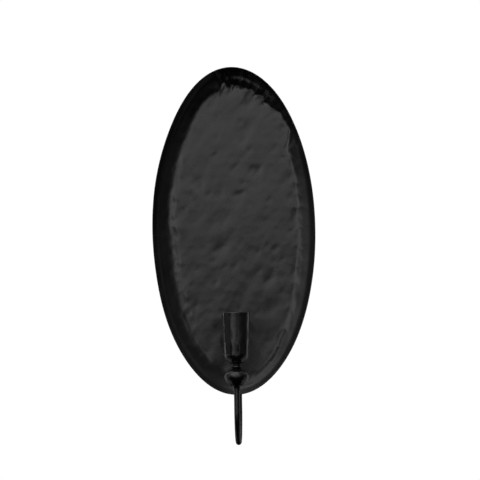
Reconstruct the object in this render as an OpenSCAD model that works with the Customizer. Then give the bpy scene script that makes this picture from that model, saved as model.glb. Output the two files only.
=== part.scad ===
// Wall candle holder: a tall oval dish of hammered steel, with one candle cup on a bent rod.
// Millimetres. +Z is up and the wall is the plane y = 0, with the holder on its -Y side.
// The origin is the centre of the keyhole's round end, on the wall.

/* [Dish] */
// Height of the oval dish
dish_h = 340; // [310:5:370]
// Width of the oval dish
dish_w = 168; // [154:2:182]
// How far the rim stands forward of the flat field
dish_depth = 13; // [10:0.5:16]
// Width of the turned-up rim, seen from the front
rim_w = 18; // [15:0.5:21]
// How fast the rim steepens towards its edge
rim_curve = 1.8; // [1.5:0.1:2.1]
// Thickness of the steel sheet
sheet_t = 1.5; // [1.2:0.1:2]

/* [Hammering] */
// Distance between neighbouring hammer blows
blow_pitch = 11; // [9:0.5:14]
// Radius of the dome on the hammer's face
blow_r = 32; // [26:1:48]
// How far a blow may land from its place, as a share of the pitch
blow_scatter = 0.3; // [0:0.05:0.4]
// Height of the low ridge that the blows throw up round the field
ridge_h = 0.7; // [0:0.1:1]
// How much the depth of the blows varies
blow_rough = 0.06; // [0:0.02:0.12]
// Start of the scatter, which makes one dish differ from the next
blow_seed = 11; // [1:1:60]

/* [Arm] */
// Diameter of the rod
rod_d = 6; // [5.5:0.1:7]
// Distance from the wall to the middle of the candle
reach = 68; // [62:1:76]
// How far the bend hangs below the edge of the dish
arm_drop = 49.5; // [44:0.5:60]
// Length of rod that runs up behind the dish
arm_lap = 78; // [66:1:110]
// Gap between rod and dish that the welds fill
weld_gap = 0.2; // [0.1:0.05:0.4]
// Length of each weld bead along the rod
weld_len = 14; // [10:1:15]
// Thickness of the weld beads
weld_d = 3.6; // [3:0.1:4.5]

/* [Candle cup] */
// Height of the cup's rim above the lower edge of the dish
cup_up = 84.5; // [78:0.5:92]
// Diameter of the candle
candle_d = 22; // [20:0.5:23]
// Clearance all round the candle
candle_gap = 0.5; // [0.3:0.1:0.8]
// Thickness of the cup's wall at the rim
cup_wall = 2.8; // [2.4:0.1:3.4]
// Height of the cup
cup_h = 53; // [48:0.5:58]
// Width of the cup where its belly starts to round in
belly_d = 25.6; // [24:0.2:26.6]
// Height of the belly
belly_h = 12; // [10:0.5:14]
// How full the belly is, from 2 for a parabola to rounder
belly_curve = 2.6; // [2:0.1:3.2]
// Depth of the straight socket that takes the candle
socket_h = 22; // [18:0.5:24]
// Width of the cup's foot
foot_d = 9.6; // [9:0.2:11]
// Height of the cup's foot
foot_h = 1; // [0.5:0.1:1.5]
// Thickness of metal under the cup's hollow
cup_floor = 4; // [3:0.25:5]

/* [Ball and collar] */
// Width of the ball
ball_d = 25; // [22:0.2:27]
// Height of the ball, without its tail
ball_h = 16.8; // [15.5:0.1:19]
// Length of the tapered tail under the ball
tail_h = 5; // [4:0.1:6]
// Width of the collar
collar_d = 12.2; // [11:0.2:14]
// Height of the collar's bead
collar_h = 2.4; // [2:0.1:3]
// Height of the groove between collar and ball
groove_h = 1.2; // [0.8:0.1:1.6]
// Width of the metal in the groove
groove_d = 9; // [8:0.2:10]
// Length of rod that sits in the ball
rod_in_ball = 9; // [7:0.5:10]
// Clearance all round the rod in the ball
rod_fit = 0.05; // [0.03:0.01:0.1]

/* [Cup screw] */
// Diameter of the screw's shank
screw_d = 4; // [3.5:0.1:4.2]
// Length of the screw under its head
screw_len = 16; // [15:0.5:17]
// Width of the screw's head
head_d = 8; // [7:0.2:8.4]
// Height of the screw's head
head_h = 2.6; // [2:0.1:3]
// Clearance all round the screw in cup and collar
screw_gap = 0.25; // [0.15:0.05:0.35]
// Clearance left in the ball's threaded hole
thread_gap = 0.05; // [0.03:0.01:0.1]

/* [Hanger] */
// Distance of the keyhole's round end below the top of the dish
hang_in = 58; // [54:1:80]
// Width of the strap
strap_w = 18; // [16:0.5:22]
// Thickness of the strap
strap_t = 1.5; // [1.2:0.1:2]
// Width of the keyhole's round end
key_d = 10; // [9:0.2:11]
// Width of the keyhole's slot
slot_w = 5; // [4:0.2:5.6]
// Distance from the round end's centre up to the seat's centre
slot_h = 9; // [8:0.5:11]
// Metal left above and below the keyhole
strap_end = 5; // [4:0.5:6]
// Run of the strap's sloping legs
leg_run = 5; // [4:0.5:6]
// Length of the strap's feet
foot_len = 9; // [7:0.5:11]

/* [Hidden] */
$fn = 64;
eps = 0.01;

paint = [0.07, 0.07, 0.07];
bare_steel = [0.55, 0.55, 0.56];

// Middle of the dish, its lower edge, and the planes of its back and of its field
half_h = dish_h / 2;
half_w = dish_w / 2;
mid_z = hang_in - half_h;
low_z = mid_z - half_h;
back_y = -(rod_d + weld_gap);
field_y = back_y - sheet_t;

// Rings of points on the dish: on the rim, in the field, and round each ring
rim_rings = 5;
field_rings = 21;
back_rings = 3;
ring_pts = 168;
quarter = ring_pts / 4;
slit_w = 1.6;
// Turn that spaces the points evenly along an oval
even_turn = 90 / PI * (half_h - half_w) / (half_h + half_w);

// Levels of the turned parts, counted down from the cup's rim
cup_z = low_z + cup_up;
collar_z = cup_z - cup_h;
ball_z = collar_z - collar_h - groove_h;
tail_z = ball_z - ball_h - tail_h;

rod_r = rod_d / 2;
bend_r = (reach - rod_r) / 2;
bend_z = low_z - arm_drop + rod_r + bend_r;
lap_z = low_z + arm_lap;
rod_end = 0.6;
weld_in = 4;

socket_r = candle_d / 2 + candle_gap;
cup_r = socket_r + cup_wall;
screw_z = collar_z + cup_floor;

// Dish: a closed sheet whose front and back are rings of points, from the edge to the middle

// Value from 0 to 1 as x passes from a to b, with no kink at either end
function ease(a, b, x) =
    let (t = min(1, max(0, (x - a) / (b - a))))
    t * t * (3 - 2 * t);

// Number from -1 to 1 that looks random but is always the same for the same n
function scatter(n) = let (v = 43758.5 * sin(127.1 * n + 311.7 * blow_seed)) 2 * (v - floor(v)) - 1;

// One hammer blow per cell of a staggered grid: its place in the dish's plane and its extra depth
blow_row_h = blow_pitch * sqrt(3) / 2;

function blow(i, j) =
    let (
        n = 3 * (i + 97 * j),
        stagger = (j % 2 == 0) ? 0 : 0.5,
        x = (i + stagger + blow_scatter * scatter(n)) * blow_pitch,
        z = j * blow_row_h + blow_scatter * scatter(n + 1) * blow_pitch
    )
    [x, z, blow_rough * scatter(n + 2)];

// Depth that the deepest of the nearby blows leaves at one point: domes that cut each other
function blow_depth(x, z) =
    let (
        j0 = round(z / blow_row_h),
        i0 = round(x / blow_pitch),
        rest = pow(blow_pitch / 2, 2) / (2 * blow_r)
    )
    max([
        for (j = [j0 - 1 : j0 + 1])
            for (i = [i0 - 1 : i0 + 1])
                let (b = blow(i, j))
                rest + b[2] - (pow(x - b[0], 2) + pow(z - b[1], 2)) / (2 * blow_r)
    ]);

// Rise of the rim above the field, s being the distance in from the dish's edge
function rim_rise(s) = dish_depth * pow(max(0, 1 - s / rim_w), rim_curve);

function rim_slope(s) =
    dish_depth * rim_curve / rim_w * pow(max(0, 1 - s / rim_w), rim_curve - 1);

// Low ridge just inside the rim
function ridge(s) = ridge_h * ease(rim_w - 1, rim_w + 5, s) * ease(rim_w + 14, rim_w + 5, s);

// Point of the ring that lies s inside the edge, step k of ring_pts round it
function ring_at(s, k) =
    let (
        turn = 360 * k / ring_pts,
        phi = turn - even_turn * sin(2 * turn)
    )
    [(half_w - s) * cos(phi), (half_h - s) * sin(phi)];

function front_pt(s, k) =
    let (
        p = ring_at(s, k),
        soft = 0.3 + 0.7 * ease(rim_w - 6, rim_w, s),
        edge = ease(0, 4, s)
    )
    [p[0], field_y - rim_rise(s) - ridge(s) + edge * soft * blow_depth(p[0], p[1]), p[1] + mid_z];

function back_pt(s, k) =
    let (
        p = ring_at(s, k),
        thick = sheet_t * sqrt(1 + pow(rim_slope(s), 2))
    )
    [p[0], field_y - rim_rise(s) + thick, p[1] + mid_z];

// The rings' distances from the edge, on the front and on the back
rim_steps = [for (i = [0 : rim_rings]) rim_w * i / rim_rings];
field_steps = [for (i = [1 : field_rings]) rim_w + (half_w - slit_w - rim_w) * i / field_rings];
front_steps = concat(rim_steps, field_steps);
back_steps = [for (i = [0 : back_rings]) rim_w * i / back_rings];

// Faces between two rings of points, the first at index a and the second at index b
function band(a, b) = [
    for (k = [0 : ring_pts - 1])
        let (n = (k + 1) % ring_pts)
        each [[a + k, a + n, b + k], [a + n, b + n, b + k]]
];

// Faces that close a ring across its narrow middle, joining each point to the one opposite
function slit(a) = [
    for (k = [-quarter : quarter - 1])
        let (
            r0 = a + (k + ring_pts) % ring_pts,
            r1 = a + (k + 1 + ring_pts) % ring_pts,
            l0 = a + (2 * quarter - k) % ring_pts,
            l1 = a + (2 * quarter - k - 1) % ring_pts
        )
        each concat(
            (r0 == l0) ? [] : [[r0, l1, l0]],
            (r1 == l1) ? [] : [[r0, r1, l1]]
        )
];

function turned_over(faces) = [for (f = faces) [f[2], f[1], f[0]]];

module dish() {
    front_n = len(front_steps);
    back_n = len(back_steps);
    back_at = front_n * ring_pts;
    pts = concat(
        [for (s = front_steps) for (k = [0 : ring_pts - 1]) front_pt(s, k)],
        [for (s = back_steps) for (k = [0 : ring_pts - 1]) back_pt(s, k)]
    );
    front = concat(
        [for (i = [0 : front_n - 2]) each band(i * ring_pts, (i + 1) * ring_pts)],
        slit((front_n - 1) * ring_pts)
    );
    back = concat(
        [for (i = [0 : back_n - 2]) each band(back_at + i * ring_pts, back_at + (i + 1) * ring_pts)],
        slit(back_at + (back_n - 1) * ring_pts)
    );
    color(paint)
        polyhedron(pts, concat(turned_over(front), back, band(0, back_at)), convexity = 6);
}

// Arm: one rod with its weld beads

// A bead of weld along the rod, filling the corner between rod and dish
module rod_weld(side, z) {
    inset = weld_d / 3;
    difference() {
        translate([side * (rod_r + inset / 2), back_y + inset, z]) {
            translate([0, 0, -weld_len / 2 + weld_d / 2])
                cylinder(d = weld_d, h = weld_len - weld_d);
            for (end = [-1, 1])
                translate([0, 0, end * (weld_len - weld_d) / 2])
                    sphere(d = weld_d);
        }
        translate([-reach, back_y - reach, z - reach / 2])
            cube([2 * reach, reach, reach]);
    }
}

module arm() {
    color(paint)
        union() {
            // Back run, with the edge of its cut end broken
            translate([0, -rod_r, bend_z])
                cylinder(r = rod_r, h = lap_z - bend_z - rod_end);
            translate([0, -rod_r, lap_z - rod_end])
                cylinder(r1 = rod_r, r2 = rod_r - rod_end, h = rod_end);
            // Half-round bend under the dish
            translate([0, -rod_r - bend_r, bend_z])
                rotate([0, 90, 0])
                    rotate([0, 0, -90])
                        rotate_extrude(angle = 180)
                            translate([bend_r, 0])
                                circle(r = rod_r);
            // Front run, up into the ball
            translate([0, -reach, bend_z])
                cylinder(r = rod_r, h = tail_z + rod_in_ball - bend_z);
            for (side = [-1, 1])
                for (z = [lap_z - weld_in - weld_len / 2, low_z + rim_w + weld_in + weld_len / 2])
                    rod_weld(side, z);
        }
}

// Turned parts, each drawn round the candle's axis from its own top face down

// The ball is a little more pointed than an ellipse: its width at level t, as shares of the full ones
ball_power = 1.85;
function bulge(t) = pow(1 - pow(abs(t), ball_power), 1 / ball_power);

module ball_knob() {
    steps = 20;
    neck_r = rod_r + 1.5;
    lip = 0.5;
    top_t = bulge(groove_d / ball_d);
    low_t = bulge(2 * neck_r / ball_d);
    outline = [
        for (i = [0 : steps])
            let (u = i / steps, t = top_t - (top_t + low_t) * u)
            [ball_d / 2 * bulge(t), -ball_h * u]
    ];
    tail = [
        for (i = [1 : 5])
            let (u = i / 5)
            [rod_r + lip + (neck_r - rod_r - lip) * pow(1 - u, 2), -ball_h - tail_h * u]
    ];
    hole_h = screw_len - cup_floor - collar_h - groove_h + 1;
    color(paint)
        translate([0, -reach, ball_z])
            difference() {
                rotate_extrude()
                    polygon(concat([[0, 0]], outline, tail, [[0, -ball_h - tail_h]]));
                translate([0, 0, -hole_h])
                    cylinder(r = screw_d / 2 + thread_gap, h = hole_h + eps);
                translate([0, 0, -ball_h - tail_h - eps])
                    cylinder(r = rod_r + rod_fit, h = rod_in_ball + rod_fit + eps);
            }
}

module collar() {
    bead_r = collar_h / 2;
    color(paint)
        translate([0, -reach, collar_z])
            difference() {
                rotate_extrude()
                    union() {
                        translate([0, -collar_h])
                            square([collar_d / 2 - bead_r, collar_h]);
                        translate([collar_d / 2 - bead_r, -bead_r])
                            circle(r = bead_r);
                        translate([0, -collar_h - groove_h])
                            square([groove_d / 2, groove_h + eps]);
                    }
                translate([0, 0, -collar_h - groove_h - eps])
                    cylinder(r = screw_d / 2 + screw_gap, h = collar_h + groove_h + 2 * eps);
            }
}

module candle_cup() {
    belly_r = belly_d / 2;
    foot_r = foot_d / 2;
    belly_z = -(cup_h - foot_h - belly_h);
    lip_r = 0.8;
    // Straight, narrowing wall, then a full belly that rounds in to the foot
    belly = [
        for (i = [0 : 14])
            let (u = i / 14)
            [foot_r + (belly_r - foot_r) * (1 - pow(u, belly_curve)), belly_z - belly_h * u]
    ];
    lip = [
        for (i = [0 : 4])
            let (a = 90 - 90 * i / 4)
            [cup_r - lip_r + lip_r * cos(a), -lip_r + lip_r * sin(a)]
    ];
    // Below the socket's ledge the hollow narrows to the floor, where the screw's head lies
    ledge = 1.3;
    floor_r = head_d / 2 + 0.8;
    floor_z = -(cup_h - cup_floor);
    hollow = [
        for (i = [0 : 12])
            let (u = i / 12)
            [
                floor_r + (socket_r - ledge - floor_r) * (1 - pow(u, 2.6)),
                -socket_h + eps + (floor_z + socket_h - eps) * u
            ]
    ];
    color(paint)
        translate([0, -reach, cup_z])
            difference() {
                rotate_extrude()
                    polygon(concat([[0, 0]], lip, belly, [[foot_r, -cup_h], [0, -cup_h]]));
                translate([0, 0, -socket_h])
                    cylinder(r = socket_r, h = socket_h + eps);
                rotate_extrude()
                    polygon(concat([[0, -socket_h + eps]], hollow, [[0, floor_z]]));
                translate([0, 0, -cup_h - eps])
                    cylinder(r = screw_d / 2 + screw_gap, h = cup_floor + 2 * eps);
            }
}

module cup_screw() {
    edge = 0.6;
    socket_w = 2.5;
    color(bare_steel)
        translate([0, -reach, screw_z])
            difference() {
                union() {
                    translate([0, 0, -screw_len])
                        cylinder(d = screw_d, h = screw_len + eps);
                    cylinder(d = head_d, h = head_h - edge);
                    translate([0, 0, head_h - edge])
                        cylinder(d1 = head_d, d2 = head_d - 2 * edge, h = edge);
                }
                translate([0, 0, head_h / 2])
                    cylinder(d = socket_w / cos(30), h = head_h, $fn = 6);
            }
}

// Hanger: a strap bent out to the wall, with a keyhole

module hanger() {
    top = slot_h + slot_w / 2 + strap_end;
    low = -(key_d / 2 + strap_end);
    soft = 0.8;
    stand = -back_y - strap_t;
    color(paint)
        difference() {
            union() {
                translate([-strap_w / 2, 0, 0])
                    rotate([90, 0, 90])
                        linear_extrude(strap_w)
                            polygon([
                                [0, low], [0, top], [-soft, top + soft],
                                [-stand, top + leg_run], [-stand, top + leg_run + foot_len],
                                [back_y, top + leg_run + foot_len], [back_y, top + leg_run - soft],
                                [-strap_t - soft, top], [-strap_t, top - soft],
                                [-strap_t, low + soft], [-strap_t - soft, low],
                                [back_y, low - leg_run + soft], [back_y, low - leg_run - foot_len],
                                [-stand, low - leg_run - foot_len], [-stand, low - leg_run],
                                [-soft, low - soft]
                            ]);
                // A weld bead along the end of each foot
                for (z = [top + leg_run + foot_len, low - leg_run - foot_len])
                    difference() {
                        translate([-strap_w / 2 + strap_t, back_y, z])
                            rotate([0, 90, 0])
                                cylinder(r = strap_t, h = strap_w - 2 * strap_t);
                        translate([-strap_w, back_y - strap_w, z - strap_w / 2])
                            cube([2 * strap_w, strap_w, strap_w]);
                    }
            }
            rotate([90, 0, 0])
                translate([0, 0, -eps])
                    cylinder(d = key_d, h = strap_t + 2 * eps);
            translate([-slot_w / 2, -strap_t - eps, 0])
                cube([slot_w, strap_t + 2 * eps, slot_h]);
            translate([0, 0, slot_h])
                rotate([90, 0, 0])
                    translate([0, 0, -eps])
                        cylinder(d = slot_w, h = strap_t + 2 * eps);
        }
}

dish();
arm();
ball_knob();
collar();
candle_cup();
cup_screw();
hanger();
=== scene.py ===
"""Studio scene of a wall candle holder: a hammered oval dish with one candle cup on a bent rod.

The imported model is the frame. Each of its nodes is replaced by a finer mesh in the same place,
worked out with numpy in millimetres and dressed with a node-based paint or plating.
"""

import logging
import math
from collections.abc import Callable, Iterator
from dataclasses import dataclass
from enum import Enum
from functools import partial
from typing import Any

import bmesh
import bpy
import numpy as np
from mathutils import Matrix, Vector


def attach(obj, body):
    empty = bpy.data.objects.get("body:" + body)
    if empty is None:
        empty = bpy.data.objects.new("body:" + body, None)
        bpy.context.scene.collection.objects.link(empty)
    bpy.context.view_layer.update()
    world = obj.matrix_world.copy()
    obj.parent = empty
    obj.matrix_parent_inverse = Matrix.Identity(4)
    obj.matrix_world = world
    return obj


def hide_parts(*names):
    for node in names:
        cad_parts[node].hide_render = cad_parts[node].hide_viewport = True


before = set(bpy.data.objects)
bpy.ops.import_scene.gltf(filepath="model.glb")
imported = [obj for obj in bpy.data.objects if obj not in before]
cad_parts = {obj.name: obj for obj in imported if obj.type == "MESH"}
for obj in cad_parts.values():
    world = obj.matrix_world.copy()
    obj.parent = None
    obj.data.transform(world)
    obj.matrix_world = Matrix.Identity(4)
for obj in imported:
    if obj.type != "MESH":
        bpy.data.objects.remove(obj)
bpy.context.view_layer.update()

LOG = logging.getLogger("candle_holder")
MM = 0.001
# Millimetres: the upright axis of cup, collar, ball and screw, and the flat back of the dish
CANDLE_Y = -68.0
DISH_BACK_Y = -6.2
# A skin is its points and its faces, in arrays with equal numbers of corners. A row is a run of
# numbers, such as values at even steps, the limits of a band or one line of a table.
Array = np.ndarray
Skin = tuple[Array, list[Array]]
Row = tuple[float, ...]


class Slot(Enum):
    """The record's material slots."""

    DISH = "dish_paint"
    ROD = "rod_paint"
    TURNED = "turned_paint"
    CUP = "cup_paint"
    SCREW = "zinc_plate"
    STRAP = "strap_paint"


# Arrays and meshes


def ease(a: float, b: float, x: Array) -> Array:
    """Value from 0 to 1 as x passes from a to b, flat at both ends: t t (3 - 2 t).

    Args:
        a: where the value leaves 0.
        b: where it reaches 1; it may be less than a.
        x: the places asked for.

    Returns:
        One value for each place.
    """
    t = np.clip((x - a) / (b - a), 0.0, 1.0)
    return t * t * (3.0 - 2.0 * t)


def band(limits: Row, x: Array) -> Array:
    """Value of 1 between the inner two limits and 0 outside the outer two, eased between."""
    a, b, c, d = limits
    return ease(a, b, x) * ease(d, c, x)


def angles(n: int) -> Array:
    """The n headings, in radians from 0, that divide a full turn evenly."""
    return np.linspace(0.0, 2.0 * np.pi, n, endpoint=False)


def scatter(n: Array, seed: float) -> Array:
    """Numbers from -1 to 1 that look random but are always the same for the same n and seed.

    Formula: twice the fraction left over by 43758.5 times the sine of 127.1 n + 311.7 seed
    degrees, less one.

    Args:
        n: whole numbers that tell the draws apart.
        seed: start of the whole pattern.

    Returns:
        One number for each n.
    """
    v = 43758.5 * np.sin(np.radians(127.1 * n + 311.7 * seed))
    return 2.0 * (v - np.floor(v)) - 1.0


def ring_faces(rings: int, steps: int, closed: bool = True) -> Array:
    """Four-sided faces between neighbouring rings or rows of points.

    Args:
        rings: number of rings, one after the other in the list of points.
        steps: points in each ring.
        closed: whether each ring's last point joins its first.

    Returns:
        An array of faces, each four indices of points.
    """
    spans = steps if closed else steps - 1
    r, k = np.meshgrid(np.arange(rings - 1), np.arange(spans), indexing="ij")
    a, b = r * steps + k, r * steps + (k + 1) % steps
    return np.stack([a, b, b + steps, a + steps], axis=-1).reshape(-1, 4)


def fan_faces(ring_at: int, steps: int, pole: int, onward: bool) -> Array:
    """Three-sided faces that close a ring at one point.

    Args:
        ring_at: index of the ring's first point.
        steps: points in the ring.
        pole: index of the closing point.
        onward: whether the faces keep the ring's own sense of turning.

    Returns:
        An array of faces, each three indices of points.
    """
    k = np.arange(steps)
    a, b, p = ring_at + k, ring_at + (k + 1) % steps, np.full(steps, pole)
    return np.stack([a, b, p] if onward else [b, a, p], axis=-1)


def closed_tube(rings: Array) -> Skin:
    """Closed skin through a stack of rings, each end closed at its middle.

    Args:
        rings: array of rings by steps by 3.

    Returns:
        The skin, which faces outwards when the rings turn anticlockwise as seen from the
        far end.
    """
    count, steps, _ = rings.shape
    size = count * steps
    points = np.concatenate([rings.reshape(-1, 3), rings[[0, -1]].mean(1)])
    return points, [
        ring_faces(count, steps),
        fan_faces(0, steps, size, False),
        fan_faces(size - steps, steps, size + 1, True),
    ]


def closed_loop(rings: Array) -> Skin:
    """Closed skin through rings of which the last joins the first, as round a hole.

    Args:
        rings: array of rings by steps by 3.

    Returns:
        The skin.
    """
    count, steps, _ = rings.shape
    k = np.arange(steps)
    n = (k + 1) % steps
    last = (count - 1) * steps
    seam = np.stack([last + k, last + n, n, k], axis=-1)
    return rings.reshape(-1, 3), [ring_faces(count, steps), seam]


def lathe(
    profile: Array, steps: int, base_z: float, base_y: float = CANDLE_Y, growth: Array | float = 0.0
) -> Array:
    """Rings of points of a profile turned round an upright axis in the plane x = 0.

    Formula: x = r cos(angle), y = r sin(angle) and z = height, from the axis's base, with r
    the profile's radius plus the growth.

    Args:
        profile: radius and height of each ring.
        steps: points round the axis.
        base_z: z of height 0.
        base_y: y of the axis.
        growth: how much further out each point lies.

    Returns:
        Array of rings by steps by 3.
    """
    angle = angles(steps)
    radius, height = profile[:, :1] + growth, profile[:, 1:]
    x, y = radius * np.cos(angle), radius * np.sin(angle)
    return np.stack([x, y + base_y, np.broadcast_to(height + base_z, x.shape)], axis=-1)


def join(skins: list[Skin]) -> Skin:
    """Several skins made one.

    Args:
        skins: the skins.

    Returns:
        All points, and all faces with their indices moved along.
    """
    starts = np.cumsum([0] + [len(points) for points, _ in skins])
    faces = [part + start for (_, parts), start in zip(skins, starts) for part in parts]
    return np.concatenate([points for points, _ in skins]), faces


def pairs(radius: Array, height: Array) -> Array:
    """Points of a profile from their radii and heights."""
    return np.stack([radius, height], axis=-1)


def arc(centre: tuple[float, float], radius: float, start: float, end: float, n: int) -> Array:
    """Points of a circular arc in a profile's plane.

    Args:
        centre: radius and height of the arc's centre.
        radius: radius of the arc.
        start: first angle in degrees, from the outward direction towards up.
        end: last angle in degrees.
        n: number of points.

    Returns:
        Array of n points.
    """
    a = np.radians(np.linspace(start, end, n))
    return pairs(centre[0] + radius * np.cos(a), centre[1] + radius * np.sin(a))


def weld_bead(radius: float, half: float, rows: int) -> tuple[Array, Array, Array]:
    """Round weld bead with a ripple of fine crescents, by itself.

    Formula: a tube whose radius is the one given times the root of 1 - t^4 along its length,
    with a dip every 1.3 mm, and whose rings lean along it as crescents do.

    Args:
        radius: radius of the bead at its middle.
        half: half of its length.
        rows: number of rings.

    Returns:
        The points' places along the bead, and their two places square to it.
    """
    tip, steps, pitch, dip, lean, lean_at = 0.999, 28, 1.3, 0.07, 0.5, 0.9
    t, a = np.linspace(-tip, tip, rows), angles(steps)
    ripple = 1.0 - dip * (1.0 + np.cos(2.0 * np.pi * t * half / pitch)) / 2.0
    girth = radius * np.sqrt(1.0 - t**4) * ripple
    along = half * t[:, None] + lean * np.cos(a - lean_at) * ripple[:, None]
    return np.clip(along, -half, half), np.outer(girth, np.cos(a)), np.outer(girth, np.sin(a))


def make_object(name: str, skin: Skin) -> bpy.types.Object:
    """Puts a skin into a smooth-shaded mesh object at the origin.

    Args:
        name: name of the piece.
        skin: points in millimetres, in the frame's own axes, and faces.

    Returns:
        The new object, linked to the scene.
    """
    points, faces = skin
    mesh = bpy.data.meshes.new(name)
    mesh.from_pydata((points * MM).tolist(), [], [f for part in faces for f in part.tolist()])
    mesh.polygons.foreach_set("use_smooth", np.ones(len(mesh.polygons), dtype=bool))
    mesh.validate()
    mesh.update()
    piece = bpy.data.objects.new(name, mesh)
    bpy.context.scene.collection.objects.link(piece)
    return piece


# Finishes


def linear(hex_colour: str) -> Row:
    """Linear colour of an sRGB colour.

    Args:
        hex_colour: the colour as # and six hex digits.

    Returns:
        Its linear red, green and blue, and an alpha of 1.
    """
    srgb = [int(hex_colour[i : i + 2], 16) / 255.0 for i in (1, 3, 5)]
    red, green, blue = (c / 12.92 if c <= 0.04045 else ((c + 0.055) / 1.055) ** 2.4 for c in srgb)
    return (red, green, blue, 1.0)


def add_node(
    tree: bpy.types.NodeTree,
    kind: str,
    values: dict[Any, Any] | None = None,
    links: dict[Any, bpy.types.NodeSocket] | None = None,
    **settings: Any,
) -> bpy.types.Node:
    """Adds one node with its settings, its inputs' values and the links into it.

    Args:
        tree: node tree that gets the node.
        kind: the node's type name.
        values: value for each named or numbered input.
        links: output to link to each named or numbered input.
        settings: the node's own properties.

    Returns:
        The new node.
    """
    node = tree.nodes.new(kind)
    for key, value in settings.items():
        setattr(node, key, value)
    for key, value in (values or {}).items():
        node.inputs[key].default_value = value
    for key, source in (links or {}).items():
        tree.links.new(source, node.inputs[key])
    return node


def clouded(
    name: str, patch_mm: float, detail: float, tints: tuple[str, str], roughness: float = 0.5
) -> tuple[bpy.types.Material, Callable[..., Any], list[bpy.types.NodeSocket]]:
    """A node material that starts with cloudy patches of two tints, on object coordinates.

    Args:
        name: name of the material.
        patch_mm: size of the patches.
        detail: how many finer sizes they hold.
        tints: the two colours.
        roughness: how strongly the finer sizes show.

    Returns:
        The material, add_node for its tree, and the coordinates, the patches and their colour.
    """
    material = bpy.data.materials.new(name)
    material.use_nodes = True
    material.node_tree.nodes.clear()
    add = partial(add_node, material.node_tree)
    place = add("ShaderNodeTexCoord").outputs["Object"]
    grain = {"Scale": 1.0 / (patch_mm * MM), "Detail": detail, "Roughness": roughness}
    patches = add("ShaderNodeTexNoise", grain, {"Vector": place}).outputs["Fac"]
    ends = {6: linear(tints[0]), 7: linear(tints[1])}
    colour = add("ShaderNodeMix", ends, {0: patches}, data_type="RGBA").outputs[2]
    return material, add, [place, patches, colour]


@dataclass(frozen=True)
class StovedPaint:
    """Satin black stoving paint on steel: a thin, slightly uneven skin that softens its ground.

    The eye gets a broad grey sheen instead of a mirror image, a fine orange peel, cloudy
    patches of lower gloss, and a faint brown cast where the skin is thin. A bloom is the
    dusty film of a matt paint, which lightens the edges that turn away.
    """

    name: str
    deep: str = "#070707"
    thin: str = "#100e0c"
    roughness: float = 0.36
    patch: float = 0.07
    peel_mm: float = 1.6
    peel_rise_mm: float = 0.012
    grit_mm: float = 0.45
    grit_rise_mm: float = 0.003
    patch_mm: float = 34.0
    bloom: float = 0.0

    def build(self) -> bpy.types.Material:
        """Makes the paint.

        Returns:
            The paint's material.
        """
        tints = (self.deep, self.thin)
        material, add, (place, patches, colour) = clouded(
            self.name, self.patch_mm, 3.0, tints, roughness=0.55)
        least, most = self.roughness - self.patch, self.roughness + self.patch
        gloss = add(
            "ShaderNodeMapRange",
            {"From Min": 0.3, "From Max": 0.7, "To Min": least, "To Max": most},
            {"Value": patches},
        ).outputs["Result"]
        # Orange peel of the sprayed skin, then fine grit on it
        peel, grit = (self.peel_mm, self.peel_rise_mm, 2.0), (self.grit_mm, self.grit_rise_mm, 1.0)
        ground: dict[str, bpy.types.NodeSocket] = {}
        for size, rise, detail in (peel, grit):
            grain = {"Scale": 1.0 / (size * MM), "Detail": detail}
            height = add("ShaderNodeTexNoise", grain, {"Vector": place}).outputs["Fac"]
            step = {"Strength": 1.0, "Distance": rise * MM}
            bump = add("ShaderNodeBump", step, {"Height": height, **ground})
            ground = {"Normal": bump.outputs["Normal"]}
        paint = add(
            "ShaderNodeBsdfPrincipled",
            {"IOR": 1.5, "Sheen Weight": self.bloom, "Sheen Roughness": 0.3},
            {"Base Color": colour, "Roughness": gloss, **ground},
        )
        add("ShaderNodeOutputMaterial", {}, {"Surface": paint.outputs["BSDF"]})
        return material


@dataclass(frozen=True)
class ZincPlate:
    """Bright zinc plating on a small screw: pale metal with a slightly milky, uneven gloss."""

    name: str = "bright_zinc_plate"
    bright: str = "#c4c6c8"
    dull: str = "#a3a49f"
    smoothest: float = 0.22
    roughest: float = 0.42
    patch_mm: float = 2.5

    def build(self) -> bpy.types.Material:
        """Makes the plating.

        Returns:
            The plating's material.
        """
        tints = (self.bright, self.dull)
        material, add, (_, patches, colour) = clouded(self.name, self.patch_mm, 3.0, tints)
        reach = {"To Min": self.smoothest, "To Max": self.roughest}
        gloss = add("ShaderNodeMapRange", reach, {"Value": patches}).outputs["Result"]
        dressed = {"Base Color": colour, "Roughness": gloss}
        plate = add("ShaderNodeBsdfPrincipled", {"Metallic": 1.0}, dressed)
        add("ShaderNodeOutputMaterial", {}, {"Surface": plate.outputs["BSDF"]})
        return material


@dataclass(frozen=True)
class PaperFloor:
    """Matt white background paper: an even pale ground with barely visible cloudy patches."""

    name: str = "background_paper"
    pale: str = "#f4f4f3"
    shade: str = "#eeeeed"
    patch_mm: float = 60.0
    # Share of white that it gives off, so that the ground stays even where the soft boxes end
    glow: float = 0.7

    def build(self) -> bpy.types.Material:
        """Makes the paper.

        Returns:
            The paper's material.
        """
        tints = (self.pale, self.shade)
        material, add, (_, _, colour) = clouded(self.name, self.patch_mm, 4.0, tints)
        paper = add(
            "ShaderNodeBsdfPrincipled",
            {"Roughness": 0.9, "Specular IOR Level": 0.0, "Emission Strength": self.glow},
            {"Base Color": colour, "Emission Color": colour},
        )
        add("ShaderNodeOutputMaterial", {}, {"Surface": paper.outputs["BSDF"]})
        return material


# Hammer work


def slanted(u: Array, v: Array, turn: float) -> tuple[Array, Array]:
    """Places along and across a direction that lies so many degrees from u towards v."""
    c, s = math.cos(math.radians(turn)), math.sin(math.radians(turn))
    return u * c + v * s, v * c - u * s


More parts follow.
